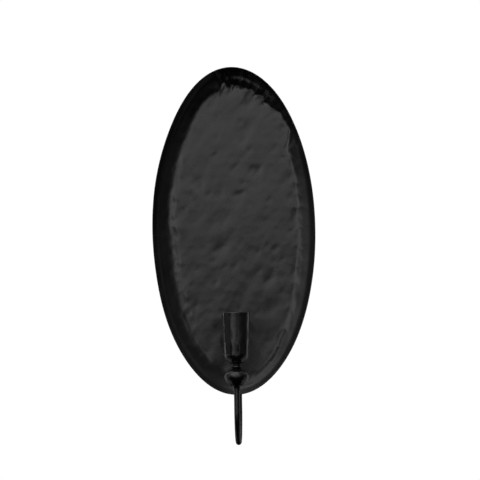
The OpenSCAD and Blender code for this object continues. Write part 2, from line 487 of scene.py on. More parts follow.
def dimple(a: Array, b: Array, along: float, across: float) -> Array:
    """Share of an oblong dent's depth: exp(-(a / along)^2 / 2 - (b / across)^2 / 2)."""
    return np.exp(-0.5 * ((a / along) ** 2 + (b / across) ** 2))


def near_blows(
    u: Array, v: Array, grid: Row, miss: Row, seed: int, wrap: int = 0
) -> Iterator[tuple[Array, Array, Array]]:
    """The nine blows nearest to each point, on a staggered grid of places that they miss a little.

    Args:
        u, v: the points' two coordinates on the surface, in millimetres.
        grid: distance between the places of a row, and between the rows.
        miss: how far a blow may miss its place, along the row and across it.
        seed: start of the scatter.
        wrap: number of places after which a row repeats itself, or 0.

    Yields:
        The points' distances from the blow along the row and across it, and the blow's own
        draw from -1 to 1.
    """
    pitch, row_h = grid
    draws, row_key = 3.0, 97.0
    i0, j0 = np.round(u / pitch), np.round(v / row_h)
    for dj in (-1, 0, 1):
        for di in (-1, 0, 1):
            i, j = i0 + di, j0 + dj
            key = draws * ((np.mod(i, wrap) if wrap else i) + row_key * j)
            x = (i + 0.5 * np.mod(j, 2)) * pitch + miss[0] * scatter(key, seed)
            z = j * row_h + miss[1] * scatter(key + 1.0, seed)
            yield u - x, v - z, scatter(key + 2.0, seed)


@dataclass(frozen=True)
class HammerMarks:
    """Blows of a domed hammer on a staggered grid, each landing a little off its place.

    A stretch other than 1 makes the marks oblong. A wrap makes the grid close on itself
    after so many blows.
    """

    pitch: float
    dome_r: float
    seed: int
    miss: float = 0.3
    rough: float = 0.06
    stretch: float = 1.0
    soften: float = 0.03
    wrap: int = 0

    def depth(self, u: Array, v: Array) -> Array:
        """Depth in millimetres that the blows leave at each point, softened where domes cut.

        Formula: for each of the nearest blows, half the square of the pitch's half over the
        dome's radius, plus the blow's own extra, less half the squared distance from the blow
        over the dome's radius. The deepest wins, by a soft maximum that rounds the crests.

        Args:
            u, v: the points' two coordinates on the surface, in millimetres.

        Returns:
            One depth for each point.
        """
        grid = (self.pitch, self.pitch * math.sqrt(3.0) / 2.0)
        miss = self.miss * self.pitch
        rest = (self.pitch / 2.0) ** 2 / (2.0 * self.dome_r)
        near = near_blows(u, v / self.stretch, grid, (miss, miss), self.seed, self.wrap)
        depths = np.stack([rest + self.rough * own - (a**2 + b**2) / (2.0 * self.dome_r)
                           for a, b, own in near])
        top = depths.max(0)
        return top + self.soften * np.log(np.exp((depths - top) / self.soften).sum(0))


@dataclass(frozen=True)
class Dents:
    """Shallow oblong dents, each on its own, strewn over a grid of slanted rows.

    Most are faint and a few are deep, as where the edge of a hammer has caught the sheet.
    """

    pitch: float
    along: float
    across: float
    deep: float
    seed: int
    turn: float
    miss: float = 0.42
    row_share: float = 0.8
    faintest: float = 0.15

    def depth(self, u: Array, v: Array) -> Array:
        """Depth in millimetres that the dents leave at each point.

        Formula: the sum, over the nearest dents, of the dent's own depth times the dimple at
        the distances from its middle. A dent's own depth is deep (f + (1 - f) r^2), r being a
        draw between -1 and 1 and f the faintest share.

        Args:
            u, v: the points' two coordinates on the surface, in millimetres.

        Returns:
            One depth for each point.
        """
        grid = (self.pitch, self.pitch * self.row_share)
        miss = (self.miss * grid[0], self.miss * grid[1])
        least, more = self.deep * self.faintest, self.deep * (1.0 - self.faintest)
        return sum((least + more * own**2) * dimple(a, b, self.along, self.across)
                   for a, b, own in near_blows(*slanted(u, v, self.turn), grid, miss, self.seed))


@dataclass(frozen=True)
class Stroke:
    """One blow beside the rim's foot: an oblong dent, or with a depth below 0 metal pushed up.

    Its place is a share of the way round and a distance inside the edge. A lean turns its long
    side from along the edge towards the middle.
    """

    turn: float
    inside: float
    along: float
    across: float
    depth: float
    lean: float = 0.0

    def mark(self, turn: Array, inside: Array, lap: float) -> Array:
        """Depth in millimetres that the blow leaves at each point: the depth times the dimple.

        Args:
            turn: share of the way round of each point.
            inside: distance inside the edge.
            lap: length of the way round, in millimetres.

        Returns:
            One depth for each point.
        """
        u = (np.mod(turn - self.turn + 0.5, 1.0) - 0.5) * lap
        a, b = slanted(u, inside - self.inside, self.lean)
        return self.depth * dimple(a, b, self.along, self.across)


@dataclass(frozen=True)
class Swell:
    """Slow rise and fall of metal that was beaten unevenly, up to a height either way."""

    height: float
    length: float
    seed: int
    waves: int = 5
    spread: float = 0.35

    def at(self, u: Array, v: Array) -> Array:
        """Rise at each point.

        Formula: the height times the mean of five sines of straight waves, each with its own
        heading, its own length near the one given and its own start.

        Args:
            u, v: the points' two coordinates on the surface, in millimetres.

        Returns:
            One value for each point.
        """
        total = np.zeros_like(u)
        for n in range(self.waves):
            draw = scatter(3.0 * n + np.arange(3.0), self.seed)
            heading, wave = math.pi * draw[0], self.length * (1.0 + self.spread * draw[1])
            along = u * math.cos(heading) + v * math.sin(heading)
            total += np.sin(2.0 * math.pi * along / wave + math.pi * draw[2])
        return self.height * (total / self.waves)


def round_curve(values: Row, turn: Array) -> Array:
    """Smooth closed curve through values at even steps of a turn.

    Formula: the sum of cosines and sines that passes through all the values, which must be
    odd in number.

    Args:
        values: the values, the first of them at turn 0.
        turn: shares of the way round, from 0 to 1.

    Returns:
        One value for each place.
    """
    waves = np.fft.rfft(np.array(values)) / len(values)
    total = np.full_like(turn, waves[0].real)
    for n in range(1, len(waves)):
        angle = 2.0 * np.pi * n * turn
        total += 2.0 * (waves[n].real * np.cos(angle) - waves[n].imag * np.sin(angle))
    return total


# Pieces


@dataclass
class Piece:
    """What each piece of the holder has: the finish that it wears."""

    finish: StovedPaint | ZincPlate

    def dress(self, piece: bpy.types.Object) -> None:
        """Puts the finish on."""
        piece.data.materials.append(self.finish.build())


@dataclass
class HammeredDish(Piece):
    """The oval dish: a flat hammered field and a rim that turns up towards the viewer."""

    finish: StovedPaint = StovedPaint(
        "satin_black_on_hammered_sheet", deep="#040404", thin="#0b0a09", roughness=0.3, patch=0.05)
    half_w: float = 84.0
    half_h: float = 170.0
    mid_z: float = -112.0
    sheet: float = 1.5
    depth: float = 13.0
    # The rim reaches in to the middle of the bend at its foot. Its straight flank has this slope,
    # then come the curl and the steep lip that is left at the edge. Fine rings reach in to foot_w.
    rim_w: float = 16.0
    foot_w: float = 22.0
    flank: float = 0.58
    curl: float = 6.0
    lip_w: float = 2.5
    edge_r: float = 0.55
    # Length of the way round, as the strokes' own lengths are counted
    lap: float = 740.0
    # At even steps round the oval, from the right over the top: the rim's width, the length of the
    # bend, and, not counted below 0, the strength of the blows along it and the height of the
    # ridge inside it
    widths: Row = (
        16.2, 15.5, 15.0, 15.0, 14.5, 11.0, 11.5, 14.5, 18.5, 19.5, 18.2, 18.8, 17.2, 16.3, 15.0,
        15.4, 17.0, 18.0, 18.5, 19.0, 19.4, 19.8, 19.0, 18.0, 16.5, 14.0, 14.5, 15.0, 15.3, 16.0,
        16.0)
    bends: Row = (9.0, 7.0, 3.0, 3.0, 6.0, 8.0, 9.0, 17.0, 17.0, 9.0, 11.0)
    beating: Row = (0.3, 0.35, 0.4, 0.4, 0.3, 0.3, 0.3, 0.3, -0.15, 0.3, 0.3)
    ridges: Row = (-0.3, -0.15, 0.0, 0.0, 0.3, 1.1, 1.15, 0.95, 0.1, -0.1, -0.3)
    # Turn and extra width where single blows have driven the foot in or out at the upper right
    scallops: tuple[Row, ...] = (
        (0.107, 0), (0.118, 0.9), (0.124, -0.6), (0.13, -5.4), (0.136, -7.4), (0.143, -7.3),
        (0.15, -6.2), (0.158, -4.0), (0.165, -0.7), (0.172, 1.8), (0.1865, 4.7), (0.189, 3.0),
        (0.194, -0.3), (0.198, 0.6), (0.2045, 5.0), (0.208, 2.4), (0.233, 4.5), (0.2375, 0.8),
        (0.253, -1.1), (0.257, 1.9), (0.2605, 1.5), (0.2635, -5.6), (0.268, -5), (0.2745, 1.7),
        (0.285, 0))
    # How far the cut edge lies inside the true oval
    trims: Row = (
        0.4, 0.3, 0.35, 0.4, 0.5, 0.4, -0.3, 0.1, 0.1, -0.7, -0.7,
        -0.4, -0.2, -0.3, 0.5, 0.9, 1.1, 1.3, 0.65, 0.45, 0.4)
    strokes: tuple[Stroke, ...] = tuple(Stroke(*row) for row in (
        # Metal pushed up on the rim at the upper right, with steep steps down to the field
        (0.235, 12.0, 9.0, 2.4, -1.15, 3.0), (0.213, 12.2, 5.5, 2.6, -0.9, 10.0),
        (0.198, 10.8, 5.0, 3.0, -0.85, 14.0), (0.181, 9.4, 5.0, 2.8, -1.1, 15.0),
        (0.147, 5.2, 14.0, 6.0, -1.7), (0.269, 17.8, 5.0, 1.6, -0.9, 43.0),
        # Narrow notches across the foot there
        (0.246, 20.5, 3.2, 1.1, 0.7, 60.0), (0.233, 19.0, 3.2, 1.2, 0.8, 65.0),
        (0.205, 17.6, 3.4, 1.2, 0.8, 65.0), (0.187, 17.0, 3.0, 1.2, 0.8, 65.0),
        (0.147, 13.4, 3.0, 1.4, 0.35, 20.0), (0.166, 13.2, 4.0, 2.0, 0.35, 35.0),
        (0.157, 15.5, 3.2, 1.8, 0.3, 50.0), (0.139, 14.5, 3.6, 1.8, 0.3, 40.0),
        (0.130, 12.8, 3.2, 1.6, 0.3, 25.0),
        # Short crests inside the rim on the left
        (0.387, 22.9, 3.0, 1.8, -0.4), (0.409, 23.7, 3.5, 1.8, -0.35),
        (0.445, 22.2, 3.0, 1.8, -0.4), (0.470, 21.3, 5.0, 1.8, -0.3),
        (0.492, 24.1, 3.5, 1.8, -0.2), (0.552, 24.6, 2.0, 1.6, -0.3),
        (0.586, 24.1, 6.0, 1.8, -0.4), (0.604, 26.3, 2.5, 1.6, -0.35),
        (0.619, 24.4, 2.5, 1.6, -0.35), (0.631, 26.9, 2.0, 1.6, -0.3),
        # Broader swellings further in, on the left and at the lower left
        (0.496, 28.7, 9.0, 3.5, -0.6), (0.623, 27.5, 8.0, 3.2, -0.35),
        (0.690, 46.0, 24.0, 11.0, -0.9),
        # A long low swelling beside the rim's foot at the lower right
        (0.806, 13.5, 34.0, 7.0, -0.95),
    ))
    # Large blows, of whose depth these shares show on the field and on the rim, and single dents
    domes: HammerMarks = HammerMarks(11.0, 32.0, 11, soften=0.15)
    domes_on_field: float = 0.15
    domes_on_rim: float = 0.2
    dents: tuple[Dents, ...] = (
        Dents(15.0, 3.5, 2.2, 0.34, 23, 54.0),
        Dents(9.0, 2.3, 1.5, 0.065, 29, 42.0),
        Dents(26.0, 7.4, 4.8, 0.85, 37, 56.0))
    # The dents are deeper by this share at the top, changing over upper_z to each side of middle
    upper_force: float = 0.3
    upper_z: float = 90.0
    # The course of blows along the line between rim and field, how far its rows wander across
    # the line, and where course and ridge stand, from just inside the line
    course: HammerMarks = HammerMarks(
        13.0, 38.0, 57, miss=0.4, rough=0.2, stretch=0.8, soften=0.06, wrap=58)
    course_sway: float = 3.5
    line_in: float = 2.0
    course_at: Row = (-9.0, -3.0, 2.0, 9.0)
    ridge_at: Row = (-1.5, 7.0, 7.0, 34.0)
    # Slow warp of the sheet, and distances inside the edge over which it and all marks set in
    warp: Swell = Swell(0.2, 70.0, 5)
    warp_in: float = 30.0
    marks_in: float = 4.0
    # Ragged width of the rim, felt on a circle of this radius, and finer where it was torn
    ragged: Swell = Swell(0.8, 30.0, 12)
    torn: Swell = Swell(1.8, 9.0, 14)
    torn_at: Row = (0.1, 0.14, 0.25, 0.28)
    ragged_r: float = 130.0
    # The back keeps faint dents from the anvil
    anvil: HammerMarks = HammerMarks(13.0, 60.0, 41)
    anvil_share: float = 0.5
    anvil_in: Row = (2.0, 8.0)
    # Half width of the slit in the middle that the innermost ring leaves
    slit: float = 0.7
    steps: int = 760
    field_rings: int = 62
    rim_rings: int = 40
    edge_rings: int = 5
    back_rings: int = 9

    def steeper(self) -> float:
        """Slope that the curl adds at the edge, so that the rim comes to its full depth."""
        return (self.depth - self.flank * self.rim_w) / (self.lip_w + self.curl / 2.0)

    def slope(self, s: Array, bend: Array) -> Array:
        """Slope of the rim, s inside the edge: a straight flank between eased bend and curl."""
        foot = self.flank * ease(0.5, -0.5, (s - self.rim_w) / bend)
        return foot + self.steeper() * ease(self.lip_w + self.curl, self.lip_w, s)

    def rise(self, s: Array, bend: Array) -> Array:
        """Height of the rim above the field.

        Formula: the slope summed up, t^3 - t^4 / 2 within a bend and t - 1 / 2 past it, t
        being the distance gone over the bend's length.

        Args:
            s: distance inside the edge.
            bend: length of the bend at the foot.

        Returns:
            One height for each place.
        """
        foot = (self.rim_w + bend / 2.0, bend, self.flank)
        curl = (self.lip_w + self.curl, self.curl, self.steeper())
        total = np.zeros_like(s)
        for start, length, slope in (foot, curl):
            t = np.clip((start - s) / length, 0.0, None)
            within = np.minimum(t, 1.0)
            total += slope * length * (within**3 - within**4 / 2.0 + t - within)
        return total

    def sheet_deep(self, s: Array, bend: Array) -> Array:
        """Distance from front to back along y: the sheet's thickness over its slope's cosine."""
        return self.sheet * np.sqrt(1.0 + self.slope(s, bend) ** 2)

    def stretched(self, inside: Array, phi: Array, turn: Array) -> Array:
        """Distance inside the edge, stretched so that the rim ends at rim_w everywhere.

        Formula: the distance over the rim's local width, as a share of rim_w, with no stretch
        left at the middle. The local width is the curve of the widths, plus the scallops and
        the raggedness.

        Args:
            inside: distance inside the edge.
            phi: the oval's angle.
            turn: share of the way round.

        Returns:
            One distance for each point.
        """
        circle = (self.ragged_r * np.cos(phi), self.ragged_r * np.sin(phi))
        ragged = self.ragged.at(*circle) + band(self.torn_at, turn) * self.torn.at(*circle)
        driven = np.interp(turn, *np.array(self.scallops).T)
        local = (round_curve(self.widths, turn) + driven + ragged) / self.rim_w
        return inside / (1.0 + (local - 1.0) * ease(self.half_w, 2.0 * self.rim_w, inside))

    def relief(self, s: Array, inside: Array, turn: Array, x: Array, z: Array) -> Array:
        """How far the hammering moves the front face away from the viewer.

        Formula: on the field, flattened domes of the large blows and single dents; on the rim
        only faint domes; along the line between the two a course of blows, less a low ridge;
        then the single strokes and the slow warp. All fade out at the edge.

        Args:
            s: distance inside the edge, stretched so that the rim ends at rim_w everywhere.
            inside: distance inside the edge, not stretched.
            turn: share of the way round the oval, from 0 to 1, from the right over the top.
            x: place across the dish.
            z: place up the dish, from its middle.

        Returns:
            One distance for each point, in millimetres.
        """
        past = s - self.rim_w - self.line_in
        on_field = ease(-2.0 * self.line_in, self.line_in, past)
        domes = self.domes.depth(x, z)
        dents = sum(kind.depth(x, z) for kind in self.dents)
        dents *= 1.0 + self.upper_force * ease(-self.upper_z, self.upper_z, z)
        marks = on_field * (self.domes_on_field * domes + dents)
        marks += (1.0 - on_field) * self.domes_on_rim * domes
        along = turn * self.course.wrap * self.course.pitch
        beaten = self.course.depth(along, s + self.course_sway * np.sin(2.0 * np.pi * turn))
        force, ridge = (np.clip(round_curve(values, turn), 0.0, None)
                        for values in (self.beating, self.ridges))
        marks += force * band(self.course_at, past) * beaten - ridge * band(self.ridge_at, past)
        for stroke in self.strokes:
            marks += stroke.mark(turn, inside, self.lap)
        warp = self.warp.at(x, z) * ease(0.0, self.warp_in, s)
        return ease(0.0, self.marks_in, s) * (marks + warp)

    def build(self) -> bpy.types.Object:
        """The dish as one closed sheet: rings from the front's middle, over the edge, to the back.

        Formula: x = (half width - s) cos phi and z = (half height - s) sin phi, with phi turned
        so that the points lie evenly, and y from the rim's rise and the hammering.

        Returns:
            The dish, not yet dressed.
        """
        lip, inmost = self.edge_r, self.half_w - self.slit
        round_edge = np.radians(np.linspace(0.0, 90.0, self.edge_rings + 1)[1:])
        over = lip * (1.0 - np.sin(round_edge))
        front = [np.linspace(inmost, self.foot_w, self.field_rings, endpoint=False),
                 np.linspace(self.foot_w, lip, self.rim_rings)]
        back = [np.linspace(lip, self.foot_w, self.back_rings + 1)[1:],
                np.linspace(self.foot_w, inmost, self.back_rings)[1:]]
        s = np.concatenate([*front, over, over[::-1], [lip], *back])
        front_n, lip_n = self.field_rings + self.rim_rings, self.edge_rings
        t = angles(self.steps)
        even = (self.half_h - self.half_w) / (self.half_h + self.half_w) / 2.0
        inside, phi = np.meshgrid(s, t - even * np.sin(2.0 * t), indexing="ij")
        share = np.broadcast_to(t / (2.0 * np.pi), phi.shape)
        # The cut edge wanders off the oval by up to the trims, as left by shears and file
        trimmed = inside + round_curve(self.trims, share) * ease(self.rim_w, 0.0, inside)
        x = (self.half_w - trimmed) * np.cos(phi)
        z = (self.half_h - trimmed) * np.sin(phi)
        s = self.stretched(inside, phi, share)
        bend = round_curve(self.bends, share)
        face_y = DISH_BACK_Y - self.sheet - self.rise(s, bend)
        y = face_y.copy()
        fore, rest = slice(0, front_n), slice(front_n + 2 * lip_n, None)
        y[fore] += self.relief(s[fore], inside[fore], share[fore], x[fore], z[fore])
        # The rounded edge runs from the front face at its foot to the back face there
        drop = (lip * (1.0 - np.cos(round_edge)))[:, None]
        y_front, deep = face_y[front_n - 1], self.sheet_deep(s[front_n - 1], bend[0])
        y[front_n : front_n + lip_n] = y_front + drop
        y[front_n + lip_n : front_n + 2 * lip_n] = y_front + deep - drop[::-1]
        y[rest] += self.sheet_deep(s[rest], bend[rest])
        anvil = np.clip(self.anvil.depth(x[rest], z[rest]), 0.0, None)
        y[rest] -= self.anvil_share * anvil * ease(*self.anvil_in, inside[rest])
        points = np.stack([x, y, z + self.mid_z], axis=-1).reshape(-1, 3)
        faces = [ring_faces(len(x), self.steps)[:, ::-1], *self.close(0, True),
                 *self.close((len(x) - 1) * self.steps, False)]
        return make_object("hammered_dish", (points, faces))

    def close(self, at: int, front: bool) -> list[Array]:
        """Faces across the narrow innermost ring, from each point to the one opposite.

        Args:
            at: index of the ring's first point.
            front: whether the faces look towards the viewer.

        Returns:
            The four-sided faces, and the three-sided ones at the two ends.
        """
        n, q = self.steps, self.steps // 4
        k = np.arange(-q + 1, q - 1)
        quads = at + np.stack([k % n, (k + 1) % n, (2 * q - k - 1) % n, (2 * q - k) % n], axis=-1)
        tris = at + np.array([[q - 1, q, q + 1], [3 * q - 1, 3 * q, 3 * q + 1]])
        return [quads, tris] if front else [quads[:, ::-1], tris[:, ::-1]]


@dataclass
class BentArm(Piece):
    """The rod: up behind the dish, a half-round bend below it, and up in front into the ball."""

    finish: StovedPaint = StovedPaint(
        "satin_black_on_bent_rod", roughness=0.27, peel_mm=1.1, patch_mm=16.0)
    rod_r: float = 3.0
    low_z: float = -331.5
    lap_z: float = -204.0
    top_z: float = -266.9
    end_r: float = 0.6
    # Shallow flats left by the dies, felt on a circle of this radius
    flats: Swell = Swell(0.012, 22.0, 31)
    flats_r: float = 9.0
    # The weld beads, and how far their middle lines lie off the rod's side and the dish's back
    weld_half: float = 7.0
    weld_r: float = 1.75
    weld_out: float = 0.6
    weld_in: float = 1.2
    welds_z: tuple[float, float] = (-215.0, -253.0)
    # The back run stands this far to the right of the front one
    skew: float = 2.4
    steps: int = 48

    def path(self) -> tuple[Array, Array, Array]:
        """Middle line of the rod in the plane x = 0.

        Formula: straight down, half a circle, straight up.

        Returns:
            The points' y and z, and the rod's radius at each, which draws in at the cut end.
        """
        bend_r = (-CANDLE_Y - self.rod_r) / 2.0
        bend_z = self.low_z + self.rod_r + bend_r
        cut = np.radians(np.linspace(90.0, 0.0, 5))
        cut_z = self.lap_z - self.end_r * (1.0 - np.sin(cut))
        down = np.linspace(cut_z[-1], bend_z, 90)[1:]
        a = np.linspace(0.0, np.pi, 110)[1:]
        up = np.linspace(bend_z, self.top_z, 24)[1:]
        y = np.concatenate([np.full(len(cut_z) + len(down), -self.rod_r),
                            -self.rod_r - bend_r + bend_r * np.cos(a),
                            np.full(len(up), CANDLE_Y)])
        z = np.concatenate([cut_z, down, bend_z - bend_r * np.sin(a), up])
        radius = np.full(len(y), self.rod_r)
        radius[: len(cut)] -= self.end_r * (1.0 - np.cos(cut))
        return y, z, radius

    def rod(self) -> Skin:
        """Skin of the rod: circles square to the middle line, slightly flattened by the bender.

        Returns:
            The skin, closed at both ends.
        """
        y, z, radius = self.path()
        dy, dz = np.gradient(y), np.gradient(z)
        size = np.hypot(dy, dz)
        ty, tz = (dy / size)[:, None], (dz / size)[:, None]
        a = angles(self.steps)
        # The flats never lie outside the round stock
        flats = self.flats.at(*np.meshgrid(z, self.flats_r * np.cos(a), indexing="ij"))
        r = radius[:, None] * (1.0 - self.flats.height - flats)
        side, out = r * np.cos(a), r * np.sin(a)
        return closed_tube(np.stack([side, y[:, None] + out * tz, z[:, None] - out * ty], axis=-1))

    def bead(self, side: float, middle_z: float) -> Skin:
        """One upright weld bead in the corner between rod and dish, flat against the dish.

        Args:
            side: -1 for the left corner, 1 for the right one.
            middle_z: height of the bead's middle.

        Returns:
            The closed bead.
        """
        along, out, away = weld_bead(self.weld_r, self.weld_half, 120)
        x = side * (self.rod_r + self.weld_out) + out
        y = np.maximum(DISH_BACK_Y + self.weld_in + away, DISH_BACK_Y)
        return closed_tube(np.stack([x, y, middle_z + along], axis=-1))

    def build(self) -> bpy.types.Object:
        """The rod and its four weld beads as one piece.

        Returns:
            The arm, not yet dressed.
        """
        beads = [self.bead(side, z) for side in (-1.0, 1.0) for z in self.welds_z]
        points, faces = join([self.rod(), *beads])
        points[:, 0] += self.skew * (points[:, 1] - CANDLE_Y) / (-CANDLE_Y - self.rod_r)
        return make_object("bent_rod_arm", (points, faces))


@dataclass
class TurnedBall(Piece):
    """The ball with its tapered tail: an ellipse above its waist, more pointed below."""

    finish: StovedPaint = StovedPaint(
        "semi_gloss_black_on_turned_ball", roughness=0.2, patch=0.04, peel_mm=1.2, patch_mm=9.0)
    width: float = 25.0
    height: float = 17.2
    tail: float = 5.0
    waist: float = 7.2
    powers: tuple[float, float] = (2.0, 1.85)
    groove_w: float = 9.0
    top_z: float = -253.7
    # The tail starts this far outside the rod, and narrows to a wall this thick round its hole
    rod_r: float = 3.0
    neck: float = 1.5
    wall: float = 0.5
    play: float = 0.05
    break_edge: float = 0.12
    axis_r: float = 0.02
    screw_r: float = 2.05
    screw_deep: float = 9.8
    rod_deep: float = 9.05
    steps: int = 128

    def level(self, width: float, power: float) -> float:
        """Share of the half's height at which the ball is this wide."""
        return (1.0 - (width / self.width) ** power) ** (1.0 / power)

    def build(self) -> bpy.types.Object:
        """The ball turned from its profile, bored for the rod below and the screw above.

        Formula: at level t the share of the full width is (1 - |t|^power)^(1 / power), with
        the first power above the waist and the second below it.

        Returns:
            The ball, not yet dressed.
        """
        neck_r, wall_r = self.rod_r + self.neck, self.rod_r + self.wall
        t_top = self.level(self.groove_w, self.powers[0])
        t_low = self.level(2.0 * neck_r, self.powers[1])
        t = np.concatenate([np.linspace(t_top, 0.0, 36), np.linspace(0.0, -t_low, 48)[1:]])
        power = np.where(t > 0.0, *self.powers)
        bulge = (1.0 - np.abs(t) ** power) ** (1.0 / power)
        reach = np.where(t > 0.0, self.waist / t_top, (self.height - self.waist) / t_low)
        body = pairs(self.width / 2.0 * bulge, reach * t - self.waist)
        v = np.linspace(0.0, 1.0, 18)[1:]
        tail = pairs(wall_r + (neck_r - wall_r) * (1.0 - v) ** 2, -self.height - self.tail * v)
        end, inner = -self.height - self.tail, self.rod_r + self.play
        bore = [[inner + self.break_edge, end], [inner, end + self.break_edge],
                [inner, end + self.rod_deep], [self.axis_r, end + self.rod_deep]]
        hole = [[self.axis_r, -self.screw_deep], [self.screw_r, -self.screw_deep],
                [self.screw_r, 0.0]]
        profile = np.concatenate([hole, body, tail, bore])
        return make_object("turned_ball", closed_tube(lathe(profile[::-1], self.steps, self.top_z)))


@dataclass
class Collar(Piece):
    """The bead between cup and ball, with the groove under it."""

    finish: StovedPaint = StovedPaint(
        "semi_gloss_black_on_collar", roughness=0.22, patch=0.04, peel_mm=1.0, patch_mm=6.0)
    width: float = 12.2
    bead_h: float = 2.4
    groove_h: float = 0.8
    groove_w: float = 9.0
    fillet: float = 0.2
    hole_r: float = 2.25
    top_z: float = -250.5
    steps: int = 96

    def build(self) -> bpy.types.Object:
        """The collar turned from its profile, round the screw's hole.

        Returns:
            The collar, not yet dressed.
        """
        r, neck = self.bead_h / 2.0, self.groove_w / 2.0
        bead = arc((self.width / 2.0 - r, -r), r, 90.0, -90.0, 20)
        foot = -self.bead_h - self.groove_h
        groove = [[neck + self.fillet, -self.bead_h], [neck, -self.bead_h - self.fillet],
                  [neck, foot]]
        loop = np.concatenate([[[self.hole_r, 0.0]], bead, groove, [[self.hole_r, foot]]])
        return make_object("turned_collar", closed_loop(lathe(loop[::-1], self.steps, self.top_z)))


@dataclass
class CandleCup(Piece):
    """The tulip cup: a lightly planished wall that narrows to a belly, and a stepped hollow."""

    finish: StovedPaint = StovedPaint(
        "satin_black_on_planished_cup", roughness=0.19, patch=0.04, peel_mm=1.1, patch_mm=12.0,
        bloom=0.06)
    rim_r: float = 14.3
    height: float = 53.0
    belly_r: float = 12.8
    belly_h: float = 12.0
    belly_curve: float = 2.6
    foot_r: float = 4.8
    foot_h: float = 1.0
    foot_edge: float = 0.7
    lip_r: float = 0.8
    socket_r: float = 11.5
    socket_h: float = 22.0
    # The socket's mouth is eased open by a small and a smaller step
    mouth: float = 0.3
    mouth_step: float = 0.09
    ledge: float = 1.3
    floor_r: float = 4.8
    floor_h: float = 4.0
    hole_r: float = 2.25
    rim_z: float = -197.5
    # Upright flats round the wall, the first at this angle, with edges that wander by sines of
    # these sizes, millimetres per radian and starts, and the planishing blows. Both set in over
    # hammered_in above the foot and end over hammered_to, and show at a share of their depth.
    flats: int = 11
    flat_at: float = -97.0
    drifts: tuple[Row, ...] = ((0.12, 7.3, 1.0), (0.07, 3.1, 0.0))
    hammered_in: float = 10.0
    hammered_to: Row = (-5.0, -0.6)
    blows: HammerMarks = HammerMarks(8.4, 30.0, 17, miss=0.3, rough=0.05, stretch=1.7,
                                     soften=0.02, wrap=9)
    shown: float = 0.3
    steps: int = 240

    def outside(self) -> Array:
        """Profile from the foot up to the lip: a foot, a full belly and a straight wall.

        Returns:
            Radius and height of each ring.
        """
        low = -(self.height - self.foot_h - self.belly_h)
        foot = [[self.foot_r, -self.height], [self.foot_r, -self.height + self.foot_edge]]
        u = np.linspace(1.0, 0.0, 40)
        belly_r = self.foot_r + (self.belly_r - self.foot_r) * (1.0 - u**self.belly_curve)
        belly = pairs(belly_r, low - self.belly_h * u)
        wall_z = np.linspace(low, -self.lip_r, 90)[1:]
        wall_r = self.belly_r + (self.rim_r - self.belly_r) * (wall_z - low) / (-self.lip_r - low)
        lip = arc((self.rim_r - self.lip_r, -self.lip_r), self.lip_r, 0.0, 90.0, 8)[1:]
        return np.concatenate([foot, belly, pairs(wall_r, wall_z), lip])

    def inside(self) -> Array:
        """Profile from the lip down: straight socket, ledge, narrowing hollow and floor.

        Returns:
            Radius and height of each ring.
        """
        open_r, step = self.socket_r, self.mouth_step
        mouth = [[open_r + self.mouth, 0.0], [open_r + step, -step], [open_r, -self.mouth]]
        wall = pairs(np.full(24, open_r), np.linspace(-self.mouth, -self.socket_h, 24))
        w = np.linspace(0.0, 1.0, 30)
        floor_z = -(self.height - self.floor_h)
        narrows = self.socket_r - self.ledge - self.floor_r
        hollow = pairs(self.floor_r + narrows * (1.0 - w**self.belly_curve),
                       -self.socket_h + (floor_z + self.socket_h) * w)
        hole = [[self.hole_r, floor_z], [self.hole_r, -self.height]]
        return np.concatenate([mouth, wall[1:], hollow, hole])

    def build(self) -> bpy.types.Object:
        """The cup turned from its two profiles, with shallow upright flats hammered round it.

        Formula: a flat lies deepest at its middle, by one less the cosine of half its angle
        over the cosine of the angle from its middle.

        Returns:
            The cup, not yet dressed.
        """
        outer, inner = self.outside(), self.inside()
        height, angle = np.meshgrid(outer[:, 1], angles(self.steps), indexing="ij")
        foot = -self.height + self.foot_h
        on_wall = band((foot, foot + self.hammered_in, *self.hammered_to), height)
        part = 2.0 * np.pi / self.flats
        drift = sum(size * np.sin(height / wave + start) for size, wave, start in self.drifts)
        off = np.mod(angle - math.radians(self.flat_at) - drift + part / 2.0, part) - part / 2.0
        flat = 1.0 - math.cos(part / 2.0) / np.cos(off)
        along = angle / (2.0 * np.pi) * self.blows.wrap * self.blows.pitch
        dent = np.clip(self.blows.depth(along, height), 0.0, None)
        sunk = on_wall * self.shown * (outer[:, :1] * flat + dent)
        growth = np.concatenate([-sunk, np.zeros((len(inner), self.steps))])
        rings = lathe(np.concatenate([outer, inner]), self.steps, self.rim_z, growth=growth)
        return make_object("planished_cup", closed_loop(rings))


